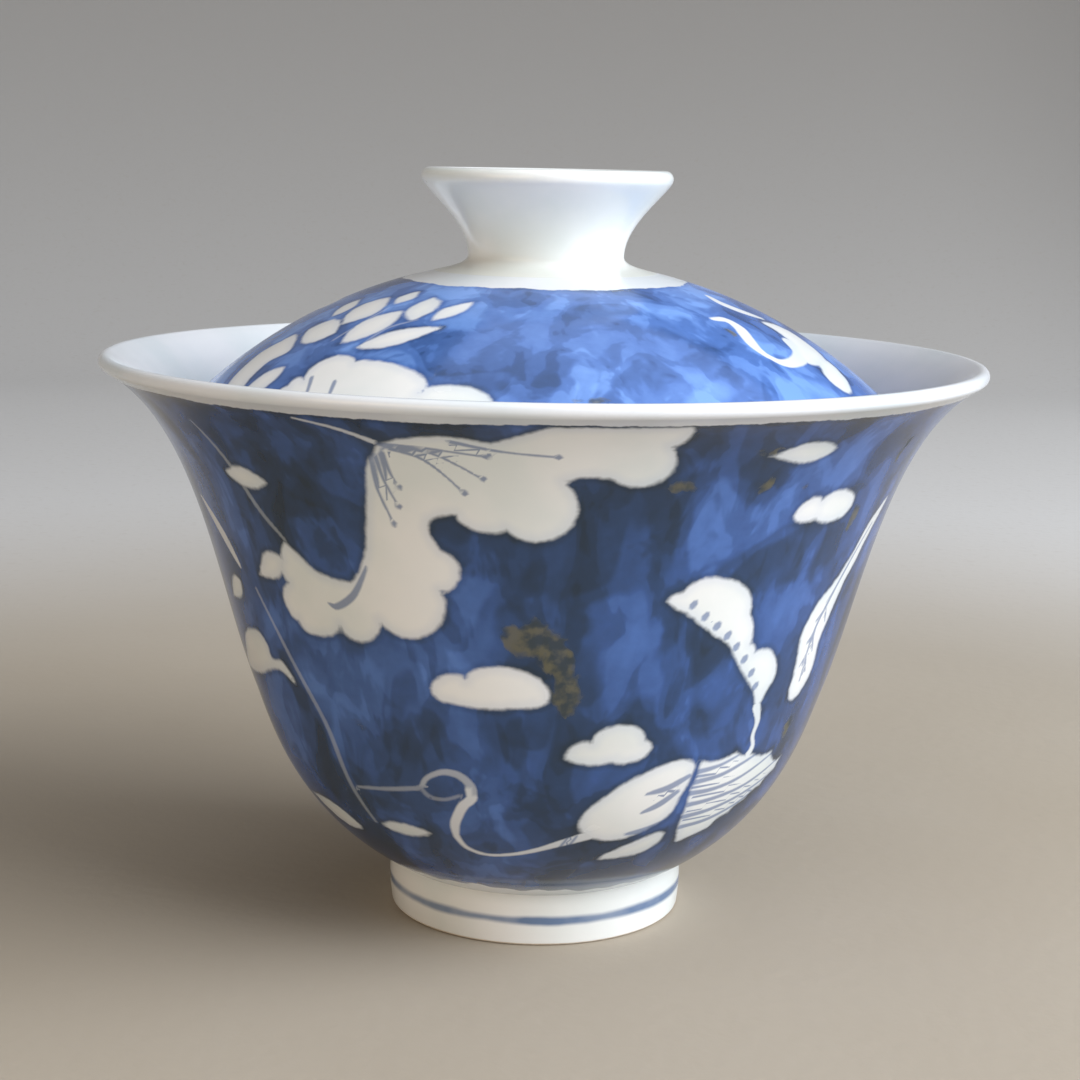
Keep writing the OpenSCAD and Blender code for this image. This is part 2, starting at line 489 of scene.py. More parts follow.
# %% [markdown]
# ## The painter's chart
# The blue is a wash laid round white shapes. An image could hold them, but this object has no image
# files, so the painting is kept in the mesh: each point knows how far, in millimetres, it lies inside
# the nearest white shape. Such a distance changes evenly from point to point, so the edge that the
# material draws at distance 0 is smooth and sharp even between points.
# A brush line works in the same way, with two numbers: how far to one side of the line the point
# lies, and half the width of the line there.
# All motifs are drawn in millimetres on the clay, to the right of and above their own middle.

# %% Lay out the chart
FAR_OFF = 5.0                                           # millimetres: nothing is painted near


class Wall:
    """The chart of one turned wall, and what has been painted on it so far."""

    def __init__(self, piece, outline, first_row):
        self.mesh = piece.data
        where = places(self.mesh) / MM
        row = np.empty(len(where))
        self.mesh.attributes["row"].data.foreach_get("value", row)
        self.mesh.attributes.remove(self.mesh.attributes["row"])
        travel = travelled(outline) - travelled(outline)[first_row]
        self.along = np.interp(row, np.arange(len(outline)), travel)
        self.radius = np.hypot(where[:, 0], where[:, 1])
        self.turn = np.degrees(np.arctan2(where[:, 0], -where[:, 1]))
        self.paint = {layer: np.full(len(where), -FAR_OFF) for layer in ("reserve", "rust")}
        for line in ("white", "blue"):
            self.paint[line + "_side"] = np.full(len(where), FAR_OFF)
            self.paint[line + "_half"] = np.full(len(where), -1.0)
        self.paint["white_strength"] = np.ones(len(where))

    def window(self, spot, points, margin=3.0):
        """The mesh points near a motif, and where they lie from its middle, in millimetres."""
        away = (self.turn - spot.turn + 180) % 360 - 180
        x = np.radians(away) * self.radius
        y = self.along - spot.along
        low, high = points.min(0) - margin, points.max(0) + margin
        near = np.flatnonzero((x > low[0]) & (x < high[0]) & (y > low[1]) & (y < high[1]))
        return near, np.stack([x[near], y[near]], 1)

    def keep(self):
        """Writes the paint on the mesh."""
        for name, values in self.paint.items():
            self.mesh.attributes.new(name, "FLOAT", "POINT").data.foreach_set("value", values)


class Spot:
    """Where a motif goes: degrees round from the front, millimetres along the wall, and its size."""

    def __init__(self, turn, along, size=1.0, mirror=False, lean=0):
        self.turn, self.along = turn, along
        flip = np.diag([-1.0 if mirror else 1.0, 1.0])
        c, s = math.cos(math.radians(lean)), math.sin(math.radians(lean))
        self.matrix = size * flip @ np.array([[c, s], [-s, c]])
        self.size = size

    def laid(self, points):
        return np.array(points, float) @ self.matrix.T


print("a wall keeps shapes, rust, white lines and blue lines")


# %% Brush shapes and brush lines
def through(points, closed=False, steps=8):
    """A smooth line through a few points."""
    points = np.array(points, float)
    if closed:
        ring = np.vstack([points[-1], points, points[:2]])
    else:
        ring = np.vstack([2 * points[0] - points[1], points, 2 * points[-1] - points[-2]])
    t = np.linspace(0, 1, steps, endpoint=False)[:, None]
    bits = [0.5 * (2 * b + (c - a) * t + (2 * a - 5 * b + 4 * c - d) * t ** 2
        + (3 * b - a - 3 * c + d) * t ** 3) for a, b, c, d in zip(ring, ring[1:], ring[2:], ring[3:])]
    return np.vstack(bits if closed else bits + [points[-1:]])


def lobes(points, steps=12):
    """A closed outline of arcs. A point is (x, y, bulge): how far the arc to the next point swells
    outwards, where 1 is a half circle, 0 is straight and less than 0 is a bay."""
    line = []
    for (x, y, bulge), (x2, y2, _) in zip(points, points[1:] + points[:1]):
        a, b = np.array((x, y)), np.array((x2, y2))
        half = (b - a) / 2
        out = np.array((-half[1], half[0]))
        for angle in np.linspace(0, math.pi, steps, endpoint=False):
            rise = math.sin(angle) if bulge > 0.28 else math.sin(angle) ** 2
            line.append(a + half - half * math.cos(angle) + out * bulge * rise)
    return np.array(line)


def nearest(at, a, b):
    """For each place, the closest of the straight bits a to b: its number, how far off it is, to
    which side, and how far along the bit, where 0 to 1 is between its ends."""
    best = np.full(len(at), np.inf)
    number, side, part = np.zeros(len(at), int), np.zeros(len(at)), np.zeros(len(at))
    for i, (start, bit) in enumerate(zip(a, b - a)):
        to = at - start
        way = to @ bit / max(bit @ bit, 1e-9)
        off = np.linalg.norm(to - np.clip(way, 0, 1)[:, None] * bit, axis=1)
        closer = off < best
        best[closer], number[closer], part[closer] = off[closer], i, way[closer]
        side[closer] = np.sign(bit[0] * to[:, 1] - bit[1] * to[:, 0])[closer]
    return number, best, side, part


def reserve(wall, spot, outline, layer="reserve"):
    """Leaves a closed shape white."""
    line = spot.laid(outline)
    near, at = wall.window(spot, line)
    ends = np.roll(line, -1, 0)
    off = nearest(at, line, ends)[1]
    crosses = np.zeros(len(at), bool)
    for (x1, y1), (x2, y2) in zip(line, ends):
        if y1 != y2:
            spans = (at[:, 1] > min(y1, y2)) & (at[:, 1] <= max(y1, y2))
            crosses ^= spans & (at[:, 0] < x1 + (at[:, 1] - y1) * (x2 - x1) / (y2 - y1))
    depth = np.where(crosses, off, -off)
    wall.paint[layer][near] = np.maximum(wall.paint[layer][near], depth)


def brush(wall, spot, points, widths, colour="blue", strength=1.0):
    """A brush line through a few points. widths are at its start, its middle and its end."""
    line = through(spot.laid(points), steps=5)
    near, at = wall.window(spot, line, 2.5)
    number, off, side, part = nearest(at, line[:-1], line[1:])
    way = (number + np.clip(part, 0, 1)) / (len(line) - 1)
    start, middle, end = (width * spot.size / 2 for width in widths)
    half = start * (1 - way) * (1 - 2 * way) + 4 * middle * way * (1 - way) + end * way * (2 * way - 1)
    tip = ((number == 0) & (part < 0)) | ((number == len(line) - 2) & (part > 1))
    reach = np.where(tip, 0, np.clip(off, 0, None))
    overshoot = np.where(tip, off, 0)
    half = half - overshoot - 2 * np.maximum(reach - half - 0.35, 0)
    signed = np.where(tip, 0, side * off)
    old = wall.paint[colour + "_half"][near] - np.abs(wall.paint[colour + "_side"][near])
    chosen = (half - np.abs(signed)) > old
    wins = near[chosen]
    wall.paint[colour + "_half"][wins] = half[chosen]
    wall.paint[colour + "_side"][wins] = signed[chosen]
    if colour == "white":
        wall.paint["white_strength"][wins] = strength


print("brushes ready")

# %% [markdown]
# ## The motifs
# The painter knows a handful of motifs by heart and places them round the cup: a scalloped cloud, a
# lotus leaf seen half from the side, a lotus flower, a flying crane, and loose petals. Each is a
# function, so that the back of the cup is painted with the same hand as the front.

# %% Clouds, petals and rust
def cloud(wall, spot):
    reserve(wall, spot, lobes([(-5.8, -0.9, 0.6), (-2.3, 0.8, 0.58), (5.8, -0.9, 0.4),
        (4.4, -1.9, 0.1), (-4.2, -1.9, 0.3)]))


def tall_cloud(wall, spot):
    reserve(wall, spot, lobes([(-3.8, -1, 0.55), (-1.3, 0.9, 0.75), (4.2, 0.9, 0.7), (4.4, -0.9, 0.3),
        (1.2, -1.4, 0.2)]))


def low_cloud(wall, spot):
    reserve(wall, spot, lobes([(-4.3, -0.6, 0.7), (-1, 0.9, 0.45), (4.7, 0.2, 0.5), (2.8, -1.5, 0.3),
        (-0.9, -1, 0.3)]))


def petal(wall, spot, start, end, width, fullest=0.6):
    """A loose petal from its stalk end to its round end, fullest at that part of its length."""
    a, b = np.array(start, float), np.array(end, float)
    across = np.array((-(b - a)[1], (b - a)[0])) / np.linalg.norm(b - a)
    way = (1 - np.cos(np.linspace(0, math.pi, 15))) / 2
    half = width / 2 * np.sin(math.pi * way ** (math.log(0.5) / math.log(fullest))) ** 0.8
    spine = a + np.outer(way, b - a)
    swell = np.outer(half, across)
    reserve(wall, spot, np.vstack([spine + swell, (spine - swell)[-2:0:-1]]))


def rust(wall, turn, along, wide, high):
    """A heap of iron that fired to a rusty olive."""
    angles = np.linspace(0, math.tau, 12, endpoint=False)
    ring = [(wide * math.cos(a), high * math.sin(a)) for a in angles]
    reserve(wall, Spot(turn, along), ring, "rust")


print("clouds, petals and rust ready")


# %% The lotus leaf
def blue_dot(wall, spot, at, radius):
    """A round dot of blue at the end of a line."""
    brush(wall, spot, [at, np.array(at) + (0.05, 0.05)], (2 * radius, 2 * radius, 2 * radius))


def lotus_leaf(wall, spot):
    """A big leaf seen from below, with a lobed edge and the veins running from its stalk."""
    reserve(wall, spot, lobes([
        (0, 9.4, 0.1), (7, 11, 0), (10.6, 10.2, 0), (16.7, 12.9, 0), (29.5, 13, 0.3), (26.8, 9.9, 0.75),
        (21, 5.9, -0.2), (16.3, 5.6, 0.95), (10.2, 0.2, 0.45), (5.8, 1.5, -0.9), (3.8, -2.4, 0.85),
        (3.2, -6.8, 0.85), (-3.5, -10.8, 0.8), (-8.3, -11.9, 0.5), (-14, -12.3, 0.75),
        (-14.6, -8.2, 0.5),
        (-15, -5.6, 0.3), (-14.1, -3.6, 0), (-10.8, -6, -0.1), (-6.3, -6.9, -0.15), (-4, -3, 0),
        (-3.2, 1, 0), (-2.2, 6, 0.05)]))
    veins = [
        [(0, 9.4), (4.5, 9.2), (10, 8.4)], [(6.9, 10.3), (11.2, 9.2), (16.4, 8.6)],
        [(0.7, 9), (3.9, 7.7), (7, 4)], [(2, 9.2), (5.2, 8.4), (9, 5.7)],
        [(0, 8.3), (0.2, 6), (0.8, 4.2)],
        [(-1.2, 8.2), (-1.5, 4), (-0.5, 0)], [(-0.8, 8), (-0.6, 5), (0.3, 2)]]
    for vein in veins:
        brush(wall, spot, vein, (0.55, 0.3, 0.22))
        blue_dot(wall, spot, vein[-1], 0.32)
    brush(wall, spot, [(-4.2, -5), (-6.1, -8.2), (-8.3, -9.8), (-9.4, -9.6)], (0.3, 0.75, 0.25))
    brush(wall, spot, [(-0.3, 9.6), (-3.7, 11.2), (-8.1, 12.4)], (0.6, 0.4, 0.25), "white", 0.8)


print("lotus leaf ready")


# %% The crane
def crane(wall, spot, plume=True):
    """A crane in flight: its long neck stretched forward, its wings folded back in feathers."""
    reserve(wall, spot, through([(0.4, 5.6), (-2.3, 5.9), (-6.3, 4.2), (-9.5, 1.2), (-10.2, -1.4),
        (-8.6, -3.4), (-5.4, -4), (-2.6, -2.9), (-0.6, -1), (0, 1.5), (0.6, 3.6)], closed=True))
    reserve(wall, spot, through([(-6.4, -7.3), (-4.2, -5.2), (-1, -3.6), (0, -4.4), (-1, -6.4),
        (-3.2, -7.3)], closed=True))
    reserve(wall, spot, lobes([(1.2, 5.7, 0.1), (6, 5.8, 0.2), (8.5, 5, 0.25), (12.6, 4.4, 0.2),
        (15.8, 2.9, 0.5), (15.1, 1.2, 0.35), (12.8, -0.4, 0.35), (10.5, -1.7, 0.35), (8.4, -3.2, 0.3),
        (6.2, -4.6, 0.4), (2.3, -6, 0), (1.3, -3, -0.1), (1.1, 2, 0)][::-1], 6)[::-1])
    neck = [(-22.3, 3.2), (-21.7, 1.8), (-22.4, 0.6), (-22.6, -1.8), (-22, -3.8), (-20.4, -5.6),
        (-18, -6.6), (-15.6, -6.3), (-13.4, -5.4), (-11.2, -4.2), (-8.6, -3)]
    brush(wall, spot, neck[:5], (0.7, 1.15, 0.55), "white", 0.92)
    brush(wall, spot, neck[4:], (0.55, 0.5, 1.4), "white", 0.95)
    brush(wall, spot, [(-27.2, 2.4), (-26.8, 3.8), (-25.2, 4.8), (-23.4, 4.5), (-22, 3.2),
        (-21.6, 1.8)], (0.5, 0.7, 0.8), "white", 0.55)
    brush(wall, spot, [(-27.2, 2.4), (-26, 1.4), (-24.4, 1.3), (-23, 2)], (0.35, 0.45, 0.4),
        "white", 0.3)
    brush(wall, spot, [(-34.9, 0.8), (-31, 1.5), (-27.2, 2.4)], (0.25, 0.5, 0.55), "white", 0.38)
    for across in (-11.2, -10.4):
        brush(wall, spot, [(across, -5.4), (across + 0.5, -3)], (0.2, 0.3, 0.2))
    feathers = [
        [(1.3, 4.2), (4, 4.5), (6.6, 5.3)], [(1.3, 2.9), (4.6, 3.2), (7.6, 4.1), (10.2, 5)],
        [(0.9, 1.5), (4.1, 1.5), (7.9, 2.2), (13.4, 4.3)],
        [(1.4, -0.1), (4.6, 0.1), (9.2, 0.8), (15, 2.8)],
        [(1.4, -1.8), (5, -1.5), (9.5, -0.5), (13.8, 0.8)],
        [(1.6, -3.4), (5, -3.1), (8.6, -2.1), (11.4, -0.9)]]
    for feather in feathers:
        brush(wall, spot, feather, (0.65, 0.45, 0.22))
    for fold in ([(-4.2, 2.2), (-1.9, 2.7), (0.4, 3.9)], [(-4, -0.3), (-2.3, 0.6), (-0.5, 2.1)],
            [(-4.9, -3.3), (-2.8, -2.9), (-0.6, -1.9)]):
        brush(wall, spot, fold, (0.3, 0.8, 0.5))
    if plume:
        tail_plume(wall, spot)


def tail_plume(wall, spot):
    """The crane's raised wing: a curling plume with a row of dots."""
    reserve(wall, spot, lobes([(-6.6, 24.4, 0.2), (-5, 25.2, 0.6), (3.2, 22.2, 0.28), (4.1, 18.6, 0.5),
        (5, 17.5, 0.8), (8.1, 12.8, 0.1), (7.4, 11, 0.6), (7.8, 9.6, 0), (6, 13.2, 0.05),
        (1.2, 19.2, 0.05), (-4.2, 22.9, 0.1)]))
    brush(wall, spot, [(7.2, 11), (8, 9.2), (7.9, 7.4), (8.4, 6), (8, 5)], (1.1, 0.5, 0.9), "white")
    for dot in ((-3.8, 23.6), (-2.2, 22.2), (-0.6, 21), (0.9, 19.8), (2.3, 18.4), (3.7, 16.8),
            (5.1, 15.1), (6.1, 13.4)):
        brush(wall, spot, [dot, (dot[0] + 0.3, dot[1] + 0.45)], (0.7, 0.85, 0.5))


print("crane ready")


# %% The lotus flowers, the trailing feather and the ribbon
def lotus_bloom(wall, spot):
    """An open flower seen from the side: a fan of long petals on a short stem."""
    for side in (-1, 1):
        for start, end, width in (((1.6, -1.6), (6.2, 6.8), 3.0), ((2.6, -3.2), (10, 2.4), 2.7),
                ((2.2, -5.2), (8.5, -4.6), 1.9)):
            petal(wall, spot, (side * start[0], start[1]), (side * end[0], end[1]), width, 0.5)
    petal(wall, spot, (0, -1), (0, 9), 3.8, 0.5)
    petal(wall, spot, (0, -2.4), (0, -6.4), 2.6, 0.5)
    for vein in ([(0, 0.6), (0.1, 3.4), (0, 6.2)], [(-4, 2.6), (-4.7, 4), (-5.4, 5.4)],
            [(4, 2.6), (4.7, 4), (5.4, 5.4)]):
        brush(wall, spot, vein, (0.3, 0.25, 0.1))


def lotus_flower(wall, spot):
    """A smaller flower seen from above: two rows of petals round a bud."""
    for start, end, width in (((-1, 1.8), (-6.8, 2), 4.8), ((-5.9, -0.9), (-6.4, -4.6), 2.8),
            ((-1.8, 0.2), (-1.5, -5.9), 4.6), ((2, 3.3), (3.6, -3.4), 4.2),
            ((4.6, 3.8), (10.9, -0.7), 3.2), ((1.1, -4.7), (1, -8), 2.2),
            ((6.6, -1.7), (4.4, -6.9), 3.0), ((8.8, -2), (9.5, -6.3), 2.5)):
        petal(wall, spot, start, end, width, 0.5)
    for vein in ([(0.2, 3.2), (0.8, 0), (1.2, -3.8)], [(4.8, 3), (5.2, 0), (7.2, -2)]):
        brush(wall, spot, vein, (0.2, 0.3, 0.15), "white", 0.3)


def trailing_feather(wall, spot):
    """A long feather that hangs from the rim."""
    reserve(wall, spot, through([(7.6, 10.2), (4.3, 7.7), (2.2, 4), (0.4, 2), (-2.2, -0.4), (-3.5, -3.6),
        (-2.8, -7), (-2, -11), (0, -11.2), (1.4, -8.6), (0.9, -5.4), (1.6, -2.2), (2.8, 1), (4.4, 3.6)],
        closed=True))
    brush(wall, spot, [(5.4, 7.6), (3, 4.2), (0.6, 0.2), (-1.1, -4), (-0.8, -9.4)], (0.2, 0.42, 0.2))
    for root, tip in (((2.2, 2.8), (1.2, 1.6)), ((1, 0.8), (-0.3, -0.5)), ((-0.1, -1.4), (-1.5, -2.6)),
            ((-0.8, -3.6), (-2, -5)), ((0.1, -1.2), (0.9, -3)), ((-0.9, -4.2), (0, -6.2)),
            ((-1.1, -6), (-1.9, -7.6)), ((-1, -6.8), (-0.1, -8.6))):
        brush(wall, spot, [root, tip], (0.3, 0.25, 0.12))


def ribbon(wall, spot):
    """A looped ribbon with a round end."""
    brush(wall, spot, [(-4.8, -4.6), (-3, -4.2), (-2.9, -2.6), (-4, -0.9), (-4.9, 0.8), (-5, 2.4)],
        (0.5, 1.5, 0.8), "white")
    brush(wall, spot, [(-5, 2.2), (-3.9, 3.7), (-1.4, 3.8), (1.4, 3), (2.8, 1.2)],
        (0.8, 1.5, 2.2), "white")
    reserve(wall, spot, through([(3.6, -3), (6, -2.4), (8.2, -0.4), (8.2, 2.4), (6.8, 4.6), (4, 5),
        (1, 4.4), (1.4, 2.4), (3.4, 0.6), (3.8, -1.2)], closed=True))
    reserve(wall, spot, through([(4.6, 4), (2.2, 5.6), (1.2, 7.4), (2.2, 9.2), (4, 9), (6, 7.6),
        (7.2, 5)], closed=True))
    brush(wall, spot, [(2.4, -9.3), (2, -7.4), (3.2, -5.4), (5.6, -3.4)], (0.6, 1.5, 0.5), "white")


def pale_line(wall, points, widths=(0.3, 0.6, 0.4), strength=0.32):
    """A thin line scratched in the wash, through places given in degrees and millimetres."""
    turn, along = points[0]
    spot = Spot(turn, along)
    radius = np.interp([p[1] for p in points], travelled(cup_outside), cup_outside[:, 0])
    brush(wall, spot, [(math.radians(p[0] - turn) * r, p[1] - along) for p, r in zip(points, radius)],
        widths, "white", strength)


print("flowers, feather, ribbon and pale lines ready")

# %% [markdown]
# ## Porcelain finishes
# The clay is white, and the clear glaze over it is a little blue-green where it is thick. The blue
# is cobalt, brushed on in many overlapping dabs before glazing, so it is never even: some dabs are
# pale, some nearly black, and the paint pools in a dark line beside the shapes that were left white.
# Where the cobalt was heaped, it fired to a rusty olive. All of that is noise at a few sizes, added
# up into one depth of colour, which a ramp turns into blues.

# %% White glaze
WHITE = (0.80, 0.815, 0.83, 1)
POOLED = (0.70, 0.75, 0.76, 1)
SPECK = (0.16, 0.12, 0.09, 1)


def white_clay(finish):
    """The white of the glazed clay: faint clouds in it, and a few dark specks of iron."""
    cloudy = finish.noise(14, 4)
    body = finish.mix(finish.step(cloudy, 0.35, 0.7), WHITE, POOLED)
    speck = finish.step(finish.noise(1.1, 1), 0.80, 0.84) * finish.step(finish.noise(9, 1), 0.45, 0.6)
    return finish.mix(speck * 0.7, body, SPECK)


def glaze_skin(finish):
    """The lumps in the glaze: slow waves, and a fine orange peel."""
    return finish.noise(7, 2) * 1.2 + finish.noise(1.3, 2) * 0.25


def gloss(finish):
    """How rough the glaze is: a little uneven, where hands and tea have dulled it."""
    return 0.13 + finish.noise(11, 3) * 0.12


print("white glaze ready")

# %% The blue wash
INK = (0.07, 0.13, 0.30, 1)
SMUDGE = (0.25, 0.36, 0.62, 1)
OLIVE = (0.125, 0.115, 0.062, 1)
SLATE = (0.03, 0.042, 0.042, 1)


def wash_depth(finish, pale):
    """How deep the cobalt lies: overlapping dabs, from a pale blue to nearly black."""
    slow = finish.noise(30, 2, warp=0.3)
    dabs = finish.noise(12, 2, stretch=(1.2, 1.2, 0.75), warp=0.5)
    strokes = finish.noise(6.5, 3, stretch=(1.4, 1.4, 0.6), warp=0.4)
    grain = finish.noise(1.6, 4)
    layers = (finish.step(dabs, 0.42, 0.49) * 0.14 + finish.step(dabs, 0.54, 0.59) * 0.12
        + finish.step(strokes, 0.44, 0.50) * 0.10 + finish.step(strokes, 0.56, 0.62) * 0.09)
    return slow * 0.66 + layers + strokes * 0.24 + grain * 0.14 - 0.11 - pale


def wash_ramp(finish, depth):
    return finish.node("ShaderNodeValToRGB", {"stops": (
        (0.10, (0.160, 0.320, 0.740)), (0.32, (0.072, 0.165, 0.470)), (0.52, (0.034, 0.088, 0.270)),
        (0.72, (0.017, 0.047, 0.124)), (0.95, (0.010, 0.027, 0.056)))}, {"Fac": depth}, output="Color")


def painted_glaze(name, pale=0.0):
    """The whole painting: white clay, the wash, the white shapes, the blue lines and the rust."""
    finish = Finish(name)
    shaky = (finish.noise(0.9, 2) - 0.5) * 0.55 + (finish.noise(3.2, 2) - 0.5) * 0.6
    inside_wash = finish.painted("wash") + shaky * 0.8
    inside_shape = finish.painted("reserve") + shaky * 0.7
    white_line = finish.painted("white_half") - abs(finish.painted("white_side")) + shaky * 0.18
    blue_line = finish.painted("blue_half") - abs(finish.painted("blue_side")) + shaky * 0.15
    rusty = finish.painted("rust") + (finish.noise(2.2, 4, warp=0.6) - 0.5) * 3.4

    wash = finish.step(inside_wash, -0.10, 0.16)
    shape = finish.step(inside_shape, -0.30, 0.30)
    line = finish.step(white_line, -0.22, 0.16) * finish.painted("white_strength")
    ink = finish.step(blue_line, -0.18, 0.14)
    beside_shape = finish.step(inside_shape, -0.9, -0.1)
    beside_edge = 1 - finish.step(inside_wash, 0.1, 0.9)

    depth = wash_depth(finish, pale) + (beside_shape * 0.13 + beside_edge * 0.10)
    blue = wash_ramp(finish, depth)
    heap = finish.step(rusty, -0.1, 0.7)
    mottle = finish.step(finish.noise(1.6, 4), 0.4, 0.6)
    blue = finish.mix(heap * 0.78, blue, finish.mix(mottle, OLIVE, SLATE))
    clay = white_clay(finish)
    drawn = finish.mix(ink * 0.72, clay, INK)
    smudged = finish.mix((1 - finish.step(inside_shape, 0.1, 1.4)) * 0.16, drawn, SMUDGE)
    left_white = (shape | line)
    colour = finish.mix(wash * (1 - left_white), smudged, blue)
    dull = gloss(finish) + heap * wash * 0.25
    return finish.glaze(colour, dull, glaze_skin(finish) - wash * (1 - left_white) * 0.12)


print("wash, ink and rust ready")

# %% [markdown]
# ## The bowl
# The bowl is turned with about half a millimetre between points, because the painting lives on them.
# The blue starts a little under the lip, and ends a little above the foot with a hasty edge.

# %% Turn and paint the bowl
def wave(turn, *parts):
    """A slow wander round the wall: a sum of waves, each (height, how many, start)."""
    return sum(height * np.sin(np.radians(turn * count + start)) for height, count, start in parts)


bowl = turned("cup_bowl_glazed", cup_outline, 540, painted_glaze("painted_cup"), seed=3)
cup_wall = Wall(bowl, cup_outline, underside_rows)
wall_length = travelled(cup_outside)[-1]
top_edge = wall_length - 1.35 + wave(cup_wall.turn, (0.12, 5, 20), (0.08, 13, 70))
low_edge = 2.7 + wave(cup_wall.turn, (0.5, 3, 200), (0.3, 14, 0), (0.28, 37, 50))
cup_wall.paint["wash"] = np.clip(
    np.minimum(top_edge - cup_wall.along, cup_wall.along - low_edge), -3, 3)

lotus_leaf(cup_wall, Spot(-20, 50))
cloud(cup_wall, Spot(-8, 33))
tall_cloud(cup_wall, Spot(12, 26))
low_cloud(cup_wall, Spot(45, 51))
crane(cup_wall, Spot(30, 18))
trailing_feather(cup_wall, Spot(56, 40))
petal(cup_wall, Spot(35, 58), (-4.1, 0.2), (4.1, 0.4), 2.7)
petal(cup_wall, Spot(-46, 53), (-3.3, 0.3), (3.2, 0), 2.4, 0.5)
petal(cup_wall, Spot(-46, 43), (-3.4, -1.2), (1.6, 1.5), 2.8)
petal(cup_wall, Spot(-63, 39), (-2.4, -1.4), (2, 1.2), 2.4)
petal(cup_wall, Spot(-30, 13.8), (-3.1, 0), (3.1, 0.1), 1.9, 0.5)
petal(cup_wall, Spot(-54, 12.6), (-4.8, 1.8), (3.6, -0.8), 3.4)
reserve(cup_wall, Spot(-60, 31), through([(-3, 2.8), (0.8, 3.8), (2.6, 2.6), (2.8, 1), (5, 1.1),
    (6.3, -1), (3.6, 0), (-1.4, -1.6), (-7.6, -2.3), (-5.4, 0.6)], closed=True))
pale_line(cup_wall, [(-67, 49), (-62, 45.5), (-58, 42)], (0.3, 1.5, 0.5), 0.9)
pale_line(cup_wall, [(-54, 40), (-49, 34), (-43, 26.5), (-41, 19), (-38.5, 14)])
pale_line(cup_wall, [(-52, 59.5), (-49, 55), (-46, 50), (-41.6, 46.6)], strength=0.35)
for turn, along, wide, high in ((-0.6, 38.6, 3.4, 2.1), (3.0, 36.2, 1.8, 2.0), (4.4, 33, 1.7, 3.0),
        (18, 54.8, 1.6, 1), (31, 54.6, 1.1, 0.7), (38, 54, 1.1, 0.6), (54, 49, 1, 1.6),
        (18, 42.5, 0.9, 0.5), (29, 58.8, 1.6, 0.4), (60, 57, 0.8, 1.8), (57, 26, 0.7, 2.4),
        (-10, 32.6, 0.7, 0.4), (-34, 27, 0.8, 0.5), (-28, 19.9, 0.5, 0.3), (11, 16, 0.8, 0.5)):
    rust(cup_wall, turn, along, wide, high)
print("front of the bowl painted")

# %% [markdown]
# The back repeats the same motifs in another order, some of them mirrored.

# %% Paint the back of the bowl
lotus_leaf(cup_wall, Spot(172, 49, 0.95, mirror=True))
crane(cup_wall, Spot(-108, 25, 0.9))
crane(cup_wall, Spot(106, 16, 0.82, mirror=True), plume=False)
lotus_bloom(cup_wall, Spot(112, 49, 1.0, lean=8))
for turn, along, motif, size in ((-86, 56, low_cloud, 0.9), (-126, 57, cloud, 0.9),
        (90, 33, tall_cloud, 1.0), (150, 31, cloud, 0.9), (-150, 38, tall_cloud, 1.1),
        (-128, 11.5, low_cloud, 0.8), (-176, 14, cloud, 0.7), (86, 57, cloud, 0.8),
        (-82, 13, tall_cloud, 0.7), (132, 55, low_cloud, 0.7)):
    motif(cup_wall, Spot(turn, along, size, mirror=turn > 0))
for turn, along in ((100, 40), (134, 57), (-132, 50), (-104, 34), (178, 33), (-100, 14), (158, 12)):
    rust(cup_wall, turn, along, 2.0, 1.1)
cup_wall.keep()
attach(bowl, "cup")
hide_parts("cup_bowl")
print("bowl", len(bowl.data.polygons), "faces")

# %% [markdown]
# ## The foot ring
# The foot is white, with one thin blue line that the painter pulls while the cup turns on the wheel.
# The cup stands on it in the kiln, so its resting face has no glaze: the bare clay is dry and warm.

# %% Finish and turn the foot ring
def foot_glaze():
    finish = Finish("foot_glaze")
    height = finish.height()
    shaky = (finish.noise(6, 3) - 0.5) * 0.9
    line = 0.46 + (finish.noise(9, 2) - 0.5) * 0.5 - abs(height - 2.9 + shaky * 0.35)
    ink = finish.step(line, -0.26, 0.34) * (0.45 + finish.noise(5, 3) * 0.75)
    bare = 1 - finish.step(height + shaky * 0.2, 0.18, 0.34)
    # painted shade: the foot turns greyer towards its top, under the bowl's belly
    clay = finish.mix(finish.step(height, 4.2, 5.8) * 0.5, white_clay(finish), (0.62, 0.66, 0.68, 1))
    inked = finish.mix(ink & 0.9, clay, (0.055, 0.125, 0.28, 1))
    dry = finish.mix(finish.noise(0.8, 4), (0.55, 0.47, 0.38, 1), (0.70, 0.64, 0.56, 1))
    colour = finish.mix(bare, inked, dry)
    rough = gloss(finish) + bare * 0.5
    return finish.glaze(colour, rough, glaze_skin(finish) + bare * finish.noise(0.35, 3) * 1.5)


foot = turned("cup_foot_glazed", foot_outline, 220, foot_glaze(), seed=5, wander=0.002)
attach(foot, "cup")
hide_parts("cup_foot_ring")
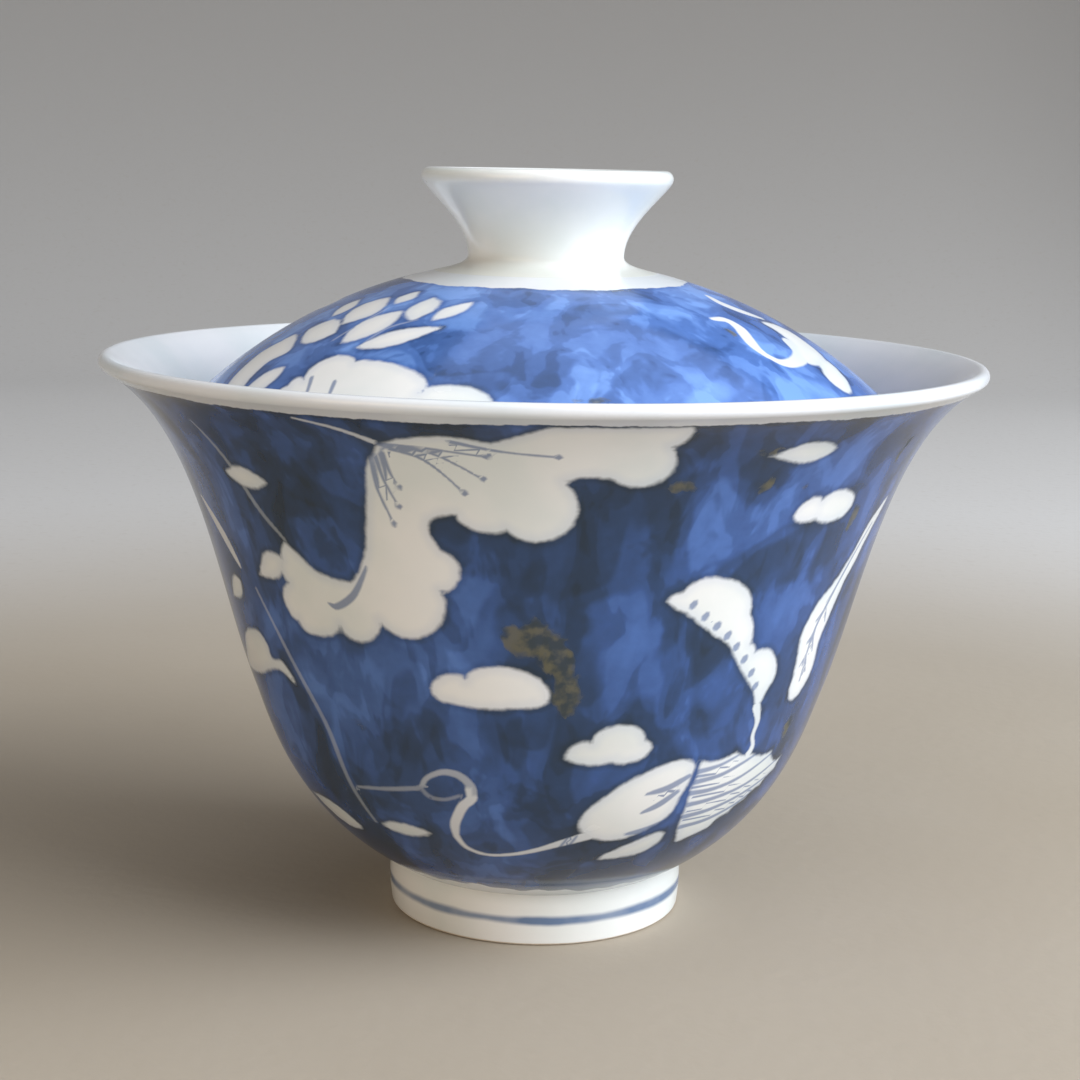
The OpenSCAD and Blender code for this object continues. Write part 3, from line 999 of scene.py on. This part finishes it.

# %% [markdown]
# ## The lid
# The dome is painted like the bowl, with a white skirt left round the knob. The knob is only glazed,
# with a painted shade round its root.

# %% Turn and paint the dome
dome = turned("lid_dome_glazed", lid_outline, 500, painted_glaze("painted_lid", pale=0.33), seed=8)
lid_wall = Wall(dome, lid_outline, 0)
skirt = 15.3 + wave(lid_wall.turn, (0.5, 1, 90), (0.12, 7, 0), (0.1, 17, 40))
lid_end = dome_r * math.radians(edge_angle)
wash_end = lid_end - 0.5 + wave(lid_wall.turn, (0.15, 9, 0))
lid_wall.paint["wash"] = np.clip(
    np.minimum(lid_wall.along - skirt, wash_end - lid_wall.along), -3, 3)
lotus_flower(lid_wall, Spot(-50, 26))
reserve(lid_wall, Spot(-30, 35), lobes([(-10.6, 5, 0.4), (-10.4, 1.4, 0.6), (-8.9, 0.2, 0.75),
    (-3.8, -3, 0.75), (5.6, -0.4, 0.3), (5.4, 0.6, 0.55), (13, 2, 0.5), (12.6, 6, 0)][::-1])[::-1])
reserve(lid_wall, Spot(-70, 34), through([(1.6, -4.8), (4.4, -3.4), (5.6, -2), (4.4, -0.2), (5, 2.2),
    (6.2, 4.6), (2.8, 5), (0.8, 3), (-0.2, 0.8), (-0.6, -1.4), (0.4, -3.2)], closed=True))
petal(lid_wall, Spot(-57, 36), (1.6, -2), (-0.6, 3.4), 3.2, 0.45)
ribbon(lid_wall, Spot(60, 28))
for line in ([(-8, -1.2), (-7.2, 1), (-7.4, 3)], [(-4.6, -1), (-4.2, 1), (-4.6, 3)]):
    brush(lid_wall, Spot(-30, 36), line, (0.5, 0.4, 0.3))
for turn, along, wide, high in ((-19.5, 33, 0.5, 1), (-18, 34.9, 1.6, 0.45), (-25, 25.4, 0.6, 0.6),
        (48, 26, 0.6, 1), (52, 25, 0.5, 0.4), (8, 36, 1.6, 0.4), (-44, 29, 0.8, 0.4)):
    rust(lid_wall, turn, along, wide, high)
print("front of the lid painted")

# %% Paint the back of the dome
lotus_bloom(lid_wall, Spot(150, 27, 0.85, lean=180))
ribbon(lid_wall, Spot(-125, 29, 1.0, mirror=True))
for turn, along, motif in ((100, 34, tall_cloud), (-170, 34, cloud), (-95, 24, low_cloud),
        (120, 23, low_cloud), (-150, 22, cloud)):
    motif(lid_wall, Spot(turn, along, 0.9))
for turn, along in ((110, 30), (-140, 36), (170, 22)):
    rust(lid_wall, turn, along, 1.6, 1)
lid_wall.keep()
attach(dome, "lid")
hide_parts("lid_dome")
print("dome", len(dome.data.polygons), "faces")

# %% Finish and turn the knob
def knob_glaze():
    finish = Finish("knob_glaze")
    height = finish.height()
    # painted shade: the knob turns greyer round its root, under the overhang of its flare
    shade_under_flare = 1 - finish.step(height + finish.noise(4, 2) * 0.8, flat_z + 0.4, flat_z + 2.6)
    colour = finish.mix(shade_under_flare * 0.55, white_clay(finish), (0.60, 0.62, 0.56, 1))
    return finish.glaze(colour, gloss(finish), glaze_skin(finish))


knob = turned("lid_knob_glazed", knob_outline, 260, knob_glaze(), seed=11, wander=0.002)
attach(knob, "lid")
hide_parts("lid_knob")

# %% [markdown]
# ## Floor and light
# The table is a pale round sheet that curves up all round, so that there is no hard horizon. A
# big soft window stands to the right and in front, and it makes the long highlights in the glaze. A
# weak warm light on the left keeps the shaded side from going black, and a wide dim one overhead
# fills the rest. The sheet carries painted light and shade: it is painted lighter some way out from
# the cup and darker far off, and painted darker far to the right, where the window stands close to it.

# %% Lay the floor
def floor_material():
    finish = Finish("pale_paper")
    fibre = finish.noise(2.2, 5)
    patch = finish.noise(90, 3)
    away = finish.node("ShaderNodeVectorMath", {"operation": "LENGTH"}, {
        "Vector": finish.place}, output="Value")
    near = finish.mix(finish.step(patch, 0.3, 0.7), (0.350, 0.305, 0.245, 1), (0.375, 0.332, 0.275, 1))
    # painted light and shade: the sheet is lighter some way out from the cup and darker far off
    backdrop_painted_light_shade = finish.mix(finish.step(away, 0.45, 1.05), (0.56, 0.56, 0.565, 1), (0.27, 0.26, 0.25, 1))
    tone_with_painted_shade = finish.mix(finish.step(away, 0.10, 0.30), near, backdrop_painted_light_shade)
    rightward = finish.node("ShaderNodeSeparateXYZ", inputs={"Vector": finish.place}, output="X")
    # painted shade: the sheet is darker far to the right, where the window stands close to it
    tone_with_painted_shade = finish.mix(finish.step(rightward, 0.16, 0.45) * 0.85, tone_with_painted_shade, (0.15, 0.145, 0.14, 1))
    flecked = finish.mix(finish.step(fibre, 0.55, 0.75) * 0.18, tone_with_painted_shade, (0.35, 0.31, 0.27, 1))
    lumps = finish.node("ShaderNodeBump", inputs={
        "Height": fibre, "Strength": 0.4, "Distance": 0.2 * MM}, output="Normal")
    surface = finish.node("ShaderNodeBsdfPrincipled", inputs={
        "Base Color": flecked, "Roughness": 0.85, "Normal": lumps}, output="BSDF")
    finish.node("ShaderNodeOutputMaterial", inputs={"Surface": surface})
    return finish.material


def floor_sheet():
    """A round sheet that lies flat under the cup and sweeps up all round it."""
    flat_r, bend_r, height, parts = 0.55, 0.40, 1.6, 96
    angles = np.linspace(0, math.pi / 2, 25)
    bend = [(flat_r + bend_r * math.sin(a), bend_r * (1 - math.cos(a))) for a in angles]
    side = [(0.0001, 0), (0.1, 0), (0.3, 0), *bend, (flat_r + bend_r, height)]
    turns = np.linspace(0, math.tau, parts, endpoint=False)
    points = [(r * math.cos(a), r * math.sin(a), z) for r, z in side for a in turns]
    faces = []
    for inner in range(0, (len(side) - 1) * parts, parts):
        outer = inner + parts
        for j in range(parts):
            k = (j + 1) % parts
            faces.append((outer + j, outer + k, inner + k, inner + j))
    mesh = bpy.data.meshes.new("floor")
    mesh.from_pydata(points, [], faces)
    mesh.shade_smooth()
    mesh.materials.append(floor_material())
    sheet = bpy.data.objects.new("floor", mesh)
    bpy.context.collection.objects.link(sheet)
    return sheet


floor = floor_sheet()


print("floor", len(floor.data.polygons), "faces")


# %% Set the lights
def window(name, place, wide, high, watts, colour):
    """A soft rectangular light that faces the cup."""
    lamp = bpy.data.lights.new(name, "AREA")
    lamp.shape = "RECTANGLE"
    lamp.size, lamp.size_y = wide, high
    lamp.energy = watts
    lamp.color = colour
    holder = bpy.data.objects.new(name, lamp)
    bpy.context.collection.objects.link(holder)
    holder.location = place
    holder.rotation_euler = (aim - Vector(place)).to_track_quat("-Z", "Y").to_euler()


window("key_window", (0.62, -0.26, 0.44), 0.7, 0.6, 11.5, (0.95, 0.975, 1.0))
window("warm_bounce", (-0.45, -0.6, 0.25), 0.6, 0.5, 2.0, (1.0, 0.76, 0.48))
window("high_sky", (0.25, -0.1, 1.0), 1.8, 1.6, 6.5, (0.96, 0.98, 1.0))
world = bpy.data.worlds.new("room")
bpy.context.scene.world = world
world.use_nodes = True
world.node_tree.nodes["Background"].inputs["Color"].default_value = (0.80, 0.82, 0.86, 1)
world.node_tree.nodes["Background"].inputs["Strength"].default_value = 0.17
